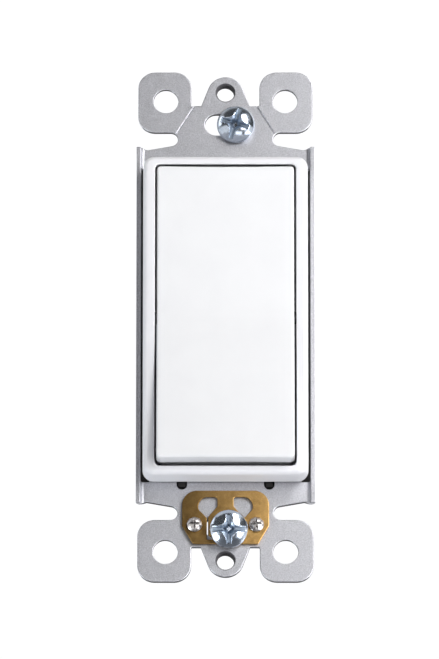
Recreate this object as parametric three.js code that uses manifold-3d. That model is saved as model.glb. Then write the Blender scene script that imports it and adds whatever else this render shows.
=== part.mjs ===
// Decorator rocker wall switch on a steel mounting strap, single pole.
// Millimetres. +X to the right of the front, +Y into the wall, +Z up; the front faces -Y.
// Origin: centre of the strap's back plane, which lies against the wall box.
import * as THREE from "three";
import { mergeVertices } from "three/addons/utils/BufferGeometryUtils.js";
import Module from "manifold-3d";

// ---------------------------------------------------------------- driving dimensions
const GAP = 0.3; // clearance kept between pieces that touch

const STRAP_T = 0.9; // sheet thickness, front face at y = -STRAP_T
const STRAP_HALF_LENGTH = 52.7;
const EAR_X0 = 6.7, EAR_X1 = 17.25, EAR_Z0 = 40.05, EAR_R = 3.4;
const EAR_HOLE = { x: 11.77, z: 46.6, r: 2.45 };
const TAB_R = 3.6, TAB_TOP = 51.7, TAB_ROOT_X = 4.8, TAB_ROOT_Z = 45.65;
const COVER_HOLE = { z: 48.4, r: 1.72, collar: 2.45, depth: 1.7 };
const SLOT = { z: 41.67, halfLength: 4.05, halfHeight: 2.175 };
const NOTCH = { x: 10.8, z: 38.65, r: 1.4 }; // between an ear and the side rail
const RAIL = { x: 17.55, inner: 16.65, front: -1.9, z: 36.8, bend: 0.7 };
const WINDOW = { x: 16.6, z: 31.9, reliefX: 14.9, reliefZ: 32.3 };
const LATCH_NOTCH = { x: 8.55, half: 1.0, z: 33.8 };

const FRAME = { x: 16.23, z: 32.85, r: 2.2, front: -7.9, skirt: -2.6, shoulder: 0.9 };
const OPENING = { x: 13.85, z: 31.1, r: 1.0 };
const NECK = { x: 15.9, z: 32.3, r: 1.6 };
const DECK = { x: 15.9, z: 31.5, r: 1.5, front: -1.5, back: 0 };

const ROCKER = { x: 13.5, z: 30.6, r: 0.8, valley: -2.6, skirt: 1.8, skirtMid: 3.0, wall: 1.8, side: 1.4 };
const ROCKER_HALF_TILT = 2.9; // degrees each side of neutral
const PIVOT_Y = -5.3, TRUNNION_R = 1.2;

const HOUSING = { collarX: 17.1, collarZ: 34.3, collarBack: 6, x: 14.6, z: 29.3, back: 23.5, wall: 1.7, front: 0.3 };
const CAVITY = { x: 12.9, z: 27.6, back: 21.9 };
const POST = { x: 9.8, z: 24.5 }; // assembly screw positions

const CLIP = { front: -1.7, back: -1.2 };
const RIVET = { x: 6.05, z: -41.3 };
const ARM_Y = 10.9, ARM_HALF_TILT = 5; // see-saw contact arm
const TERMINAL = { y: 14.5, z: 13, x0: 13.2, x1: 14.4 };
const GROUND = { x: -3.6, y: 10, half: 3.6 };

const SCREW_TOP = { x: 2.1, z: 41.45, tiltX: 6, tiltZ: -5 };
const SCREW_BOTTOM = { x: 0.66, z: -42.05, tiltX: 18 };

// ---------------------------------------------------------------- solids from three.js geometry
const wasm = await Module();
wasm.setup();

function solid(geometry) {
  const g = geometry.index ? geometry.toNonIndexed() : geometry.clone();
  g.deleteAttribute("normal");
  g.deleteAttribute("uv");
  const m = mergeVertices(g, 1e-4);
  const tri = [];
  const ix = m.index.array;
  for (let i = 0; i < ix.length; i += 3)
    if (ix[i] !== ix[i + 1] && ix[i + 1] !== ix[i + 2] && ix[i] !== ix[i + 2]) tri.push(ix[i], ix[i + 1], ix[i + 2]);
  return new wasm.Manifold(new wasm.Mesh({ numProp: 3, vertProperties: m.attributes.position.array, triVerts: new Uint32Array(tri) }));
}

function geometryOf(s) {
  const m = s.getMesh();
  const g = new THREE.BufferGeometry();
  const p = new Float32Array(m.numVert * 3);
  for (let i = 0; i < m.numVert; i++) for (let k = 0; k < 3; k++) p[i * 3 + k] = m.vertProperties[i * m.numProp + k];
  g.setAttribute("position", new THREE.BufferAttribute(p, 3));
  g.setIndex(new THREE.BufferAttribute(new Uint32Array(m.triVerts), 1));
  return g;
}

const join = (...s) => s.reduce((a, b) => a.add(b));
const cut = (a, ...s) => s.reduce((x, y) => x.subtract(y), a);

// A closed polygon with rounded corners: [x, z, radius] for each corner.
function rounded(corners, seg = 4) {
  const pts = [], n = corners.length;
  corners.forEach(([x, z, r = 0], i) => {
    const p = corners[(i + n - 1) % n], q = corners[(i + 1) % n];
    if (!r) return pts.push(new THREE.Vector2(x, z));
    const u = new THREE.Vector2(p[0] - x, p[1] - z).normalize();
    const v = new THREE.Vector2(q[0] - x, q[1] - z).normalize();
    const half = Math.acos(Math.min(1, Math.max(-1, u.dot(v)))) / 2;
    const t = r / Math.tan(half), d = r / Math.sin(half);
    const m = u.clone().add(v).normalize();
    const c = new THREE.Vector2(x + m.x * d, z + m.y * d);
    const a0 = Math.atan2(z + u.y * t - c.y, x + u.x * t - c.x);
    let da = Math.atan2(z + v.y * t - c.y, x + v.x * t - c.x) - a0;
    while (da > Math.PI) da -= 2 * Math.PI;
    while (da < -Math.PI) da += 2 * Math.PI;
    const k = Math.max(2, Math.ceil((Math.abs(da) / (Math.PI / 2)) * seg));
    for (let j = 0; j <= k; j++) pts.push(new THREE.Vector2(c.x + r * Math.cos(a0 + (da * j) / k), c.y + r * Math.sin(a0 + (da * j) / k)));
  });
  return pts;
}

const arc = (cx, cz, r, a0, a1, n) =>
  Array.from({ length: n + 1 }, (_, i) => {
    const a = THREE.MathUtils.degToRad(a0 + ((a1 - a0) * i) / n);
    return new THREE.Vector2(cx + r * Math.cos(a), cz + r * Math.sin(a));
  });

const rect = (hx, hz, r = 0, seg = 4) => rounded([[-hx, -hz, r], [hx, -hz, r], [hx, hz, r], [-hx, hz, r]], seg);

function closeLoop(pts) {
  const out = [];
  for (const p of pts) if (!out.length || out[out.length - 1].distanceTo(p) > 1e-5) out.push(p);
  if (out.length > 1 && out[0].distanceTo(out[out.length - 1]) < 1e-5) out.pop();
  return new THREE.Shape(out);
}

// Prisms: outline in XZ along Y, outline in XY along Z, outline in YZ along X.
const plate = (pts, y0, y1) =>
  solid(new THREE.ExtrudeGeometry(closeLoop(pts), { depth: y1 - y0, bevelEnabled: false }).rotateX(Math.PI / 2).translate(0, y1, 0));
const prismZ = (pts, z0, z1) =>
  solid(new THREE.ExtrudeGeometry(closeLoop(pts), { depth: z1 - z0, bevelEnabled: false }).translate(0, 0, z0));
const TURN_X = new THREE.Matrix4().makeBasis(new THREE.Vector3(0, 1, 0), new THREE.Vector3(0, 0, 1), new THREE.Vector3(1, 0, 0));
const prismX = (pts, x0, x1) =>
  solid(new THREE.ExtrudeGeometry(closeLoop(pts), { depth: x1 - x0, bevelEnabled: false }).applyMatrix4(TURN_X).translate(x0, 0, 0));
const box = (x0, x1, y0, y1, z0, z1) =>
  solid(new THREE.BoxGeometry(x1 - x0, y1 - y0, z1 - z0).translate((x0 + x1) / 2, (y0 + y1) / 2, (z0 + z1) / 2));
const V = (pts) => pts.map(([a, b]) => new THREE.Vector2(a, b));

// Cylinders along each axis.
const cylY = (x, z, r, y0, y1, n = 20) => solid(new THREE.CylinderGeometry(r, r, y1 - y0, n).translate(x, (y0 + y1) / 2, z));
const cylX = (y, z, r, x0, x1, n = 20) => solid(new THREE.CylinderGeometry(r, r, x1 - x0, n).rotateZ(Math.PI / 2).translate((x0 + x1) / 2, y, z));
const cylZ = (x, y, r, z0, z1, n = 20) => solid(new THREE.CylinderGeometry(r, r, z1 - z0, n).rotateX(Math.PI / 2).translate(x, y, (z0 + z1) / 2));
// A cone frustum along Y with radius ra at y0 and rb at y1.
const coneY = (x, z, y0, ra, y1, rb, n = 20) => solid(new THREE.CylinderGeometry(rb, ra, y1 - y0, n).translate(x, (y0 + y1) / 2, z));
// Turned piece about Y: [radius, y] from the axis and back to it.
const turned = (profile, n = 20) => {
  const pts = V(profile);
  if (pts[0].y > pts[pts.length - 1].y) pts.reverse();
  return solid(new THREE.LatheGeometry(pts, n));
};

// ---------------------------------------------------------------- scene graph
const root = new THREE.Group();
const finish = {
  steel: [0xb4b5b9, 0.42, 0.85],
  white: [0xf2f1f5, 0.32, 0.0],
  black: [0x1c1c1f, 0.55, 0.0],
  brass: [0x9a7a45, 0.38, 0.9],
  zinc: [0x9fabbd, 0.22, 0.95],
  nickel: [0xd9d6d2, 0.2, 0.95],
  fibre: [0xb9a78a, 0.8, 0.0],
  copper: [0xb9764a, 0.3, 0.9],
  silver: [0xd8d8d6, 0.25, 0.95],
  green: [0x2f7a4a, 0.35, 0.7],
  spring: [0x8b8f95, 0.3, 0.9],
  amber: [0xd9c79a, 0.45, 0.0],
};
function piece(name, s, look, parent = root) {
  const [color, roughness, metalness] = finish[look];
  const mesh = new THREE.Mesh(geometryOf(s), new THREE.MeshStandardMaterial({ color, roughness, metalness, name: look, flatShading: true }));
  mesh.name = name;
  parent.add(mesh);
  return mesh;
}

// ---------------------------------------------------------------- mounting strap
function strap() {
  const dx = TAB_ROOT_X, dz = TAB_ROOT_Z - (TAB_TOP - TAB_R);
  // angle of the tab's slanted side, tangent to its round top
  const dist = Math.hypot(dx, dz);
  const side = Math.atan2(dz, dx) + Math.acos(TAB_R / dist);
  const sideDeg = THREE.MathUtils.radToDeg(side);
  const quadrant = [
    ...arc(0, TAB_TOP - TAB_R, TAB_R, 90, sideDeg, 6),
    ...rounded([[TAB_ROOT_X, TAB_ROOT_Z], [EAR_X0, TAB_ROOT_Z], [EAR_X0, STRAP_HALF_LENGTH, EAR_R], [EAR_X1, STRAP_HALF_LENGTH, EAR_R], [EAR_X1, EAR_Z0, EAR_R], [NOTCH.x, EAR_Z0], [5, 43]], 5).slice(0, -1),
    ...arc(NOTCH.x, NOTCH.z, NOTCH.r, 90, 262, 9),
    new THREE.Vector2(15.4, 36.4),
    new THREE.Vector2(15.95, 36.55),
  ];
  const flip = (pts, sx, sz) => pts.map((p) => new THREE.Vector2(p.x * sx, p.y * sz));
  const outline = [...quadrant, ...flip(quadrant, 1, -1).reverse(), ...flip(quadrant, -1, -1), ...flip(quadrant, -1, 1).reverse()];
  let s = plate(outline.reverse(), -STRAP_T, 0);

  // side rails: the sheet's sides bent forward into a short lip
  const cx = RAIL.inner - RAIL.bend, cy = -STRAP_T - RAIL.bend, ro = RAIL.bend + STRAP_T;
  const lip = [
    new THREE.Vector2(cx - 0.4, 0),
    ...arc(cx, cy, ro, 90, 0, 6).map((p) => new THREE.Vector2(p.x, p.y)),
    new THREE.Vector2(RAIL.x, RAIL.front + 0.12),
    new THREE.Vector2(RAIL.x - 0.12, RAIL.front),
    new THREE.Vector2(RAIL.inner + 0.12, RAIL.front),
    new THREE.Vector2(RAIL.inner, RAIL.front + 0.12),
    ...arc(cx, cy, RAIL.bend, 0, 90, 4),
    new THREE.Vector2(cx - 0.4, -STRAP_T),
  ];
  for (const sgn of [1, -1]) {
    const p = lip.map((q) => new THREE.Vector2(q.x * sgn, q.y));
    s = s.add(prismZ(sgn > 0 ? p.reverse() : p, -RAIL.z, RAIL.z));
  }

  // device window with relief at its corners and latch notches at its ends
  s = cut(s, box(-WINDOW.x, WINDOW.x, -3, 1, -WINDOW.z, WINDOW.z));
  for (const sx of [1, -1])
    for (const sz of [1, -1]) {
      s = cut(s, box(Math.min(sx * WINDOW.reliefX, sx * WINDOW.x), Math.max(sx * WINDOW.reliefX, sx * WINDOW.x), -3, 1, Math.min(sz * 30, sz * WINDOW.reliefZ), Math.max(sz * 30, sz * WINDOW.reliefZ)));
      const n = [new THREE.Vector2(-LATCH_NOTCH.half, -3), new THREE.Vector2(LATCH_NOTCH.half, -3), ...arc(0, LATCH_NOTCH.z - LATCH_NOTCH.half - WINDOW.z, LATCH_NOTCH.half, 0, 180, 8)];
      const pts = n.map((q) => new THREE.Vector2(q.x * sx + sx * LATCH_NOTCH.x, (q.y + WINDOW.z) * sz));
      s = cut(s, plate(sx * sz > 0 ? pts : pts.reverse(), -3, 1));
      // ear hole with an eased front edge
      s = cut(s, cylY(sx * EAR_HOLE.x, sz * EAR_HOLE.z, EAR_HOLE.r, -3, 1, 28), coneY(sx * EAR_HOLE.x, sz * EAR_HOLE.z, -1.1, EAR_HOLE.r + 0.5, -0.6, EAR_HOLE.r, 28));
      // break-off score line between the ear and the strap
      const g = new THREE.BoxGeometry(0.42, 0.42, Math.hypot(3.7, 6.05));
      g.rotateZ(Math.PI / 4).rotateY(Math.atan2(3.7, -6.05)).translate(7.85, -STRAP_T - 0.04, 42.875);
      const m = new THREE.Matrix4().makeScale(sx, 1, sz);
      g.applyMatrix4(m);
      if (sx * sz < 0) {
        const q = g.index.array;
        for (let i = 0; i < q.length; i += 3) [q[i + 1], q[i + 2]] = [q[i + 2], q[i + 1]];
      }
      s = cut(s, solid(g));
    }
  for (const sz of [1, -1]) {
    // tapped cover-plate hole with its extruded collar
    s = s.add(cylY(0, sz * COVER_HOLE.z, COVER_HOLE.collar, -0.2, COVER_HOLE.depth, 20));
    s = cut(s, cylY(0, sz * COVER_HOLE.z, COVER_HOLE.r, -3, 3, 20), coneY(0, sz * COVER_HOLE.z, -1.1, COVER_HOLE.r + 0.5, -0.6, COVER_HOLE.r, 20));
    // slot for the mounting screw
    const c = SLOT.halfLength - SLOT.halfHeight;
    s = cut(s, plate([...arc(c, sz * SLOT.z, SLOT.halfHeight, -90, 90, 9), ...arc(-c, sz * SLOT.z, SLOT.halfHeight, 90, 270, 9)], -3, 1));
  }
  // rivet holes for the grounding clip
  s = cut(s, cylY(RIVET.x, RIVET.z, 1.2, -3, 1, 16), cylY(-RIVET.x, RIVET.z, 1.2, -3, 1, 16));

  // ground terminal tab, bent back from the window's lower edge
  const tab = prismX(V([[-STRAP_T, -32.4], [0, -32.4], [0, -30.6], [14, -30.6], [14, -29.7], [-0.5, -29.7], [-STRAP_T, -30.1]]), GROUND.x - GROUND.half, GROUND.x + GROUND.half);
  s = s.add(tab);
  s = cut(s, cylZ(GROUND.x, GROUND.y, 2.25, -31, -29, 20));
  return s;
}
piece("mounting_strap", strap(), "steel");

// ---------------------------------------------------------------- front frame
function frontFrame() {
  const outer = new THREE.ExtrudeGeometry(new THREE.Shape(rect(FRAME.x, FRAME.z, FRAME.r, 4)), {
    depth: 8, bevelEnabled: true, bevelThickness: FRAME.shoulder, bevelSize: FRAME.shoulder, bevelOffset: -FRAME.shoulder, bevelSegments: 3,
  });
  // the extrusion's far bevel becomes the front shoulder
  outer.rotateX(Math.PI / 2).translate(0, FRAME.front + 8 + FRAME.shoulder, 0);
  let s = solid(outer).subtract(box(-30, 30, FRAME.skirt, 40, -60, 60));
  s = join(s, plate(rect(NECK.x, NECK.z, NECK.r, 3), FRAME.skirt - 0.1, -STRAP_T - GAP), plate(rect(DECK.x, DECK.z, DECK.r, 3), DECK.front, DECK.back));
  for (const sx of [1, -1]) for (const sz of [1, -1]) s = s.add(cylY(sx * POST.x, sz * POST.z, 2.8, -0.3, 6.2, 18));
  s = cut(s, plate(rect(OPENING.x, OPENING.z, OPENING.r, 4), -20, DECK.front));
  s = cut(s, box(-5.5, 5.5, -3, 1, -7, 7));
  for (const sx of [1, -1]) {
    s = cut(s, cylX(PIVOT_Y, 0, TRUNNION_R + GAP, sx > 0 ? 13 : -15.6, sx > 0 ? 15.6 : -13, 20), box(sx > 0 ? 13 : -15.6, sx > 0 ? 15.6 : -13, PIVOT_Y, 1, -TRUNNION_R - GAP, TRUNNION_R + GAP));
    for (const sz of [1, -1]) s = cut(s, cylY(sx * POST.x, sz * POST.z, 1.45, 0.7, 7, 14));
  }
  // clearance over the strap's ground tab
  s = cut(s, box(GROUND.x - GROUND.half - GAP, GROUND.x + GROUND.half + GAP, -STRAP_T - GAP, 1, -33, -29.3));
  return s;
}
piece("front_frame", frontFrame(), "white");

// ---------------------------------------------------------------- rocker paddle and what rides in it
const rockerGroup = new THREE.Group();
rockerGroup.position.set(0, PIVOT_Y, 0);
rockerGroup.rotation.x = THREE.MathUtils.degToRad(-ROCKER_HALF_TILT);
root.add(rockerGroup);

function rocker() {
  const rise = ROCKER.z * Math.tan(THREE.MathUtils.degToRad(ROCKER_HALF_TILT));
  const end = ROCKER.valley - rise;
  const e = 0.35; // eased front edges at the two ends
  let s = prismX(V([[ROCKER.valley, 0], [end + 0.02, -ROCKER.z + e], [end + e, -ROCKER.z], [ROCKER.skirt, -ROCKER.z], [ROCKER.skirtMid, 0], [ROCKER.skirt, ROCKER.z], [end + e, ROCKER.z], [end + 0.02, ROCKER.z - e]]), -ROCKER.x, ROCKER.x);
  s = s.intersect(plate(rect(ROCKER.x, ROCKER.z + 0.001, ROCKER.r, 4), -20, 20));
  const hz = ROCKER.z - ROCKER.side;
  const inner = prismX(V([[ROCKER.valley + ROCKER.wall, 0], [end + ROCKER.wall + 0.1, -hz], [10, -hz], [10, hz], [end + ROCKER.wall + 0.1, hz]]), -ROCKER.x + ROCKER.side, ROCKER.x - ROCKER.side);
  s = cut(s, inner);
  s = join(s, box(-ROCKER.x + 1, ROCKER.x - 1, ROCKER.valley + 1, 2.4, -0.6, 0.6), cylY(0, 0, 3.0, ROCKER.valley + 1, 12.5, 20), cylX(0, 0, TRUNNION_R, -15.2, 15.2, 18));
  // stiffening ribs across the two halves
  for (const z of [-20, -10, 10, 20]) s = s.add(box(-ROCKER.x + 1, ROCKER.x - 1, ROCKER.valley + 1 - Math.abs(z) * 0.0507, 0.4, z - 0.5, z + 0.5));
  // spring bore
  return cut(s, cylY(0, 0, 1.85, 0.9, 13, 18));
}
piece("rocker_paddle", rocker(), "white", rockerGroup);

piece("actuator_plunger", turned([[0, 7.5], [1.2, 7.5], [1.5, 7.8], [1.5, 13.9], [1.25, 14.6], [0.75, 15.0], [0, 15.1]], 16), "amber", rockerGroup);

// compression spring behind the plunger
class Helix extends THREE.Curve {
  constructor(r, y0, y1, turns) { super(); Object.assign(this, { r, y0, y1, turns }); }
  getPoint(t, out = new THREE.Vector3()) {
    const a = t * this.turns * 2 * Math.PI;
    return out.set(this.r * Math.cos(a), this.y0 + (this.y1 - this.y0) * t, this.r * Math.sin(a));
  }
}
function coil(r, wire, y0, y1, turns, steps) {
  const section = new THREE.Shape(arc(0, 0, wire / 2, 0, 300, 5));
  return solid(new THREE.ExtrudeGeometry(section, { steps, bevelEnabled: false, extrudePath: new Helix(r, y0, y1, turns) }));
}
piece("contact_spring", coil(1.4, 0.32, 1.35, 6.3, 5, 60), "spring", rockerGroup);

// ---------------------------------------------------------------- see-saw contact arm
const armGroup = new THREE.Group();
armGroup.position.set(0, ARM_Y, 0);
armGroup.rotation.x = THREE.MathUtils.degToRad(ARM_HALF_TILT);
root.add(armGroup);
piece("contact_arm", join(plate(rect(2.3, 9.4, 1.2, 3), -0.8, 0), box(1.9, 2.3, -2.2, -0.4, -2.2, 2.2), box(-2.3, -1.9, -2.2, -0.4, -2.2, 2.2)), "copper", armGroup);
piece("moving_contact", turned([[0, 0.3], [1.5, 0.3], [1.5, 0.8], [1.1, 1.05], [0, 1.1]], 16).translate([0, 0, -7.6]), "silver", armGroup);

// ---------------------------------------------------------------- rear housing
function housing() {
  const H = HOUSING;
  let s = join(plate(rect(H.collarX, H.collarZ, 2, 3), H.front, H.collarBack), plate(rect(H.x, H.z, 1.5, 3), H.collarBack - 0.2, H.back));
  // barriers above, between and below the side screws
  for (const z of [-19.9, 0, 19.9]) s = s.add(box(H.x - 1, H.collarX, H.collarBack - 0.2, 20.5, z - 0.7, z + 0.7));
  // posts that locate the strap's latch notches
  for (const sx of [1, -1]) for (const sz of [1, -1]) {
    const x = sx * LATCH_NOTCH.x;
    s = s.add(box(x - 0.7, x + 0.7, -0.75, H.front + 0.2, sz > 0 ? 32.2 : -33.3, sz > 0 ? 33.3 : -32.2));
  }
  s = cut(s, plate(rect(CAVITY.x, CAVITY.z, 1, 3), -2, CAVITY.back).subtract(join(box(-20, 20, -2, 0, 31.8, 40), box(-20, 20, -2, 0, -40, -31.8))));
  // screw posts, arm stop and terminal supports standing on the floor
  const inside = plate(rect(CAVITY.x + 0.5, CAVITY.z + 0.5, 1, 3), -2, CAVITY.back + 0.5);
  for (const sx of [1, -1]) for (const sz of [1, -1]) s = s.add(cylY(sx * POST.x, sz * POST.z, 3.4, 6.5, CAVITY.back + 0.2, 18).intersect(inside));
  s = join(s, box(-2, 2, 12.1, 22, 8.5, 10), box(-3, 3, 15.1, 22, -9.6, -5), box(-3, 3, 15.1, 22, -0.8, 6));
  for (const sz of [1, -1]) {
    // pocket walls for the push-in clips
    s = join(s, box(5.6, 13, 12, 22, Math.min(sz * 19.1, sz * 20), Math.max(sz * 19.1, sz * 20)), box(5.6, 6.6, 12, 22, Math.min(sz * 15.4, sz * 20), Math.max(sz * 15.4, sz * 20)));
    // opening for the side terminal, wire hole with lead-in, release slot
    s = cut(s, box(12, 16.5, 9, 20, sz > 0 ? 7.5 : -18.5, sz > 0 ? 18.5 : -7.5));
    s = cut(s, cylY(11.4, sz * 17.3, 1.3, 21, 24, 16), coneY(11.4, sz * 17.3, 22.6, 1.3, 23.7, 1.75, 16));
    s = cut(s, box(7.4, 8.6, 21, 24, sz * 17.3 - 1.6, sz * 17.3 + 1.6));
  }
  for (const sx of [1, -1]) for (const sz of [1, -1]) s = cut(s, cylY(sx * POST.x, sz * POST.z, 1.45, 5, 24, 14), cylY(sx * POST.x, sz * POST.z, 2.75, 20.4, 24, 18));
  // ground tab slot and screw clearance in the lower end
  s = cut(s, box(GROUND.x - GROUND.half - GAP, GROUND.x + GROUND.half + GAP, -1, 6.5, -30.95, -29.3), cylZ(GROUND.x, GROUND.y, 2.25, -31, -27, 18));
  return s;
}
piece("rear_housing", housing(), "black");

// ---------------------------------------------------------------- assembly screws
const names = { "1,1": "top_right", "-1,1": "top_left", "1,-1": "bottom_right", "-1,-1": "bottom_left" };
for (const sx of [1, -1]) for (const sz of [1, -1]) {
  let s = turned([[0, 1.3], [0.7, 1.3], [1.15, 2.2], [1.15, 20.7], [2.35, 20.7], [2.4, 21.3], [1.9, 22.3], [0, 22.6]], 16);
  s = cut(s, box(-0.3, 0.3, 21.3, 23, -1.5, 1.5), box(-1.5, 1.5, 21.3, 23, -0.3, 0.3));
  piece("assembly_screw_" + names[sx + "," + sz], s.translate([sx * POST.x, 0, sz * POST.z]), "zinc");
}

// ---------------------------------------------------------------- terminals and contacts
function terminal(sz, strip) {
  const t = TERMINAL;
  let s = join(plate(V(strip).reverse(), 14.0, 14.8), box(t.x0, t.x1, 9.3, 19.7, Math.min(sz * 7.8, sz * 18.2), Math.max(sz * 7.8, sz * 18.2)));
  return cut(s, cylX(t.y, sz * t.z, 2.3, 12, 16, 20));
}
let load = terminal(1, [[-2.6, -0.5], [-2.6, 8.2], [6, 8.2], [9, 10.4], [13.4, 10.4], [13.4, 7.9], [12.5, 7.9], [12.5, 5], [6, -0.5]]);
load = load.add(prismX(V([[11.35, 0], [14.1, -0.45], [14.1, 1.1]]).reverse(), -2.2, 2.2));
piece("load_terminal", load, "brass");
piece("line_terminal", terminal(-1, [[-2.6, -10.4], [-2.6, -4.6], [12.5, -4.6], [12.5, -7.9], [13.4, -7.9], [13.4, -10.4]]), "brass");
piece("fixed_contact", turned([[0, 13.1], [1.2, 13.15], [1.6, 13.35], [1.6, 13.7], [0, 13.7]], 16).translate([0, 0, -7.6]), "silver");

// ---------------------------------------------------------------- side terminal screws and their clamp washers
function bindingScrew() {
  // head towards -Y of its own frame
  let s = turned([[0, -3.0], [2.6, -2.95], [3.55, -2.4], [3.8, -1.9], [3.8, -1.25], [2.0, -1.25], [2.0, 4.2], [1.4, 5.0], [0, 5.0]], 20);
  return cut(s, box(-3.9, 3.9, -3.3, -2.2, -0.45, 0.45), box(-0.45, 0.45, -3.3, -2.0, -1.9, 1.9));
}
for (const [name, sz] of [["load", 1], ["line", -1]]) {
  const g = new THREE.Group();
  g.position.set(TERMINAL.x1, TERMINAL.y, sz * TERMINAL.z);
  g.rotation.z = Math.PI / 2; // own -Y turns to face +X
  root.add(g);
  piece("terminal_screw_" + name, bindingScrew(), "brass", g);
  const w = plate(rect(4.1, 4.1, 0.6, 2), -0.95, -0.3).subtract(cylY(0, 0, 2.3, -2, 1, 20));
  piece("clamp_washer_" + name, w, "nickel", g);
}

// ---------------------------------------------------------------- ground screw
const groundGroup = new THREE.Group();
groundGroup.position.set(GROUND.x, GROUND.y, -30.6);
groundGroup.rotation.x = Math.PI / 2; // own -Y faces down
root.add(groundGroup);
function groundScrew() {
  const hex = plate(arc(0, 0, 3.7, 0, 300, 5).reverse(), -3.0, -1.2);
  let s = hex.intersect(turned([[0, -3.1], [2.9, -3.0], [3.75, -2.5], [3.75, -1.1], [0, -1.1]], 24));
  s = s.add(turned([[0, -1.4], [1.9, -1.4], [1.9, 5.8], [1.3, 6.6], [0, 6.6]], 18));
  return cut(s, box(-3.9, 3.9, -3.3, -2.3, -0.4, 0.4));
}
piece("ground_screw", groundScrew(), "green", groundGroup);
piece("ground_washer", cylY(0, 0, 3.4, -0.9, -0.3, 20).subtract(cylY(0, 0, 2.25, -2, 1, 18)), "brass", groundGroup);

// ---------------------------------------------------------------- push-in wire clips
function leaf(pts, t) {
  // a strip of thickness t along a polyline
  const left = [], right = [];
  pts.forEach((p, i) => {
    const a = pts[Math.max(0, i - 1)], b = pts[Math.min(pts.length - 1, i + 1)];
    const d = new THREE.Vector2(b[0] - a[0], b[1] - a[1]).normalize();
    left.push(new THREE.Vector2(p[0] - (d.y * t) / 2, p[1] + (d.x * t) / 2));
    right.push(new THREE.Vector2(p[0] + (d.y * t) / 2, p[1] - (d.x * t) / 2));
  });
  return [...left, ...right.reverse()];
}
for (const [name, sz] of [["load", 1], ["line", -1]])
  piece("push_in_clip_" + name, prismZ(leaf([[7.3, 12.6], [7.3, 20.2], [7.55, 20.9], [8.1, 21.2], [8.7, 20.9], [9.0, 20.3], [10.7, 15.4], [10.5, 14.6]], 0.4).reverse(), Math.min(sz * 15.9, sz * 18.7), Math.max(sz * 15.9, sz * 18.7)), "spring");

// ---------------------------------------------------------------- self-grounding clip and its rivets
function clip() {
  let s = plate(rounded([[-8.5, -34.3, 2.9], [-8.5, -41.5, 0.6], [-6.4, -45.2, 0.5], [6.4, -45.2, 0.5], [8.5, -41.5, 0.6], [8.5, -34.3, 2.9]], 5), CLIP.front, CLIP.back);
  for (const sx of [1, -1]) {
    const w = rounded([[1.6, -35.6, 0.55], [1.6, -37.5, 0.3], [3.35, -39.8], [3.75, -39.8], [5.3, -38.1, 0.9], [5.3, -35.6, 1.9]], 4).map((p) => new THREE.Vector2(p.x * sx, p.y));
    s = cut(s, plate(sx > 0 ? w.reverse() : w, -3, 0));
    // slit beside the finger that grips the screw
    s = cut(s, box(sx > 0 ? 3.15 : -3.65, sx > 0 ? 3.65 : -3.15, -3, 0, -43.9, -39.6));
    s = cut(s, cylY(sx * RIVET.x, RIVET.z, 1.2, -3, 0, 16));
  }
  s = cut(s, box(-3.65, 3.65, -3, 0, -44.3, -43.5), plate(rounded([[-2.62, -44.0, 0.2], [2.62, -44.0, 0.2], [2.62, -39.95, 1.8], [-2.62, -39.95, 1.8]], 5), -3, 0));
  return s;
}
piece("ground_clip", clip(), "brass");
for (const [name, sx] of [["left", -1], ["right", 1]]) {
  let s = turned([[0, -2.75], [0.8, -2.7], [1.3, -2.45], [1.5, -2.0], [0.85, -2.0], [0.85, 0.35], [1.4, 0.35], [1.2, 0.75], [0, 0.85]], 16);
  s = cut(s, box(-1.1, 1.1, -3, -2.5, -0.12, 0.12), box(-0.12, 0.12, -3, -2.5, -1.1, 1.1));
  piece("clip_rivet_" + name, s.translate([sx * RIVET.x, 0, RIVET.z]), "nickel");
}

// ---------------------------------------------------------------- mounting screws, held in the strap's slots by retaining washers
function mountingScrew(headBase, headR, length) {
  const b = headBase, h = 2.2;
  let s = turned([[0, b - h], [1.4, b - h + 0.12], [2.5, b - h + 0.5], [3.3, b - h + 1.15], [headR, b - 0.45], [headR - 0.1, b], [1.7, b], [1.7, b + length - 1], [1.1, b + length], [0, b + length]], 24);
  // combination recess: cross and slot
  s = cut(s, box(-headR - 0.2, headR + 0.2, b - h - 1, b - h + 0.95, -0.5, 0.5), box(-0.55, 0.55, b - h - 1, b - h + 1.2, -2.1, 2.1));
  s = cut(s, coneY(0, 0, b - h - 0.01, 1.55, b - h + 1.7, 0.35, 8));
  return s;
}
const topGroup = new THREE.Group();
topGroup.position.set(SCREW_TOP.x, -STRAP_T, SCREW_TOP.z);
topGroup.rotation.set(THREE.MathUtils.degToRad(SCREW_TOP.tiltX), 0, THREE.MathUtils.degToRad(SCREW_TOP.tiltZ));
root.add(topGroup);
const topTurn = new THREE.Group(); // how far the screw happens to be turned
topTurn.rotation.y = THREE.MathUtils.degToRad(-72.6);
topGroup.add(topTurn);
piece("mounting_screw_top", mountingScrew(-0.9, 3.72, 19), "zinc", topTurn);

const bottomGroup = new THREE.Group();
bottomGroup.position.set(SCREW_BOTTOM.x, (CLIP.front + CLIP.back) / 2, SCREW_BOTTOM.z);
bottomGroup.rotation.x = THREE.MathUtils.degToRad(SCREW_BOTTOM.tiltX);
root.add(bottomGroup);
piece("mounting_screw_bottom", mountingScrew(-1.85, 3.65, 19), "zinc", bottomGroup);

const washerAt = (x, z) => cylY(x, z, 3.3, 0.35, 1.05, 24).subtract(cylY(x, z, 2.2, -1, 2, 20));
piece("screw_retainer_top", washerAt(2.24, 41.62), "fibre");
piece("screw_retainer_bottom", washerAt(SCREW_BOTTOM.x, -41.35), "fibre");

export default root;
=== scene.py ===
import math

import bmesh
import bpy
from mathutils import Matrix, Vector
from mathutils.geometry import tessellate_polygon


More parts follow.
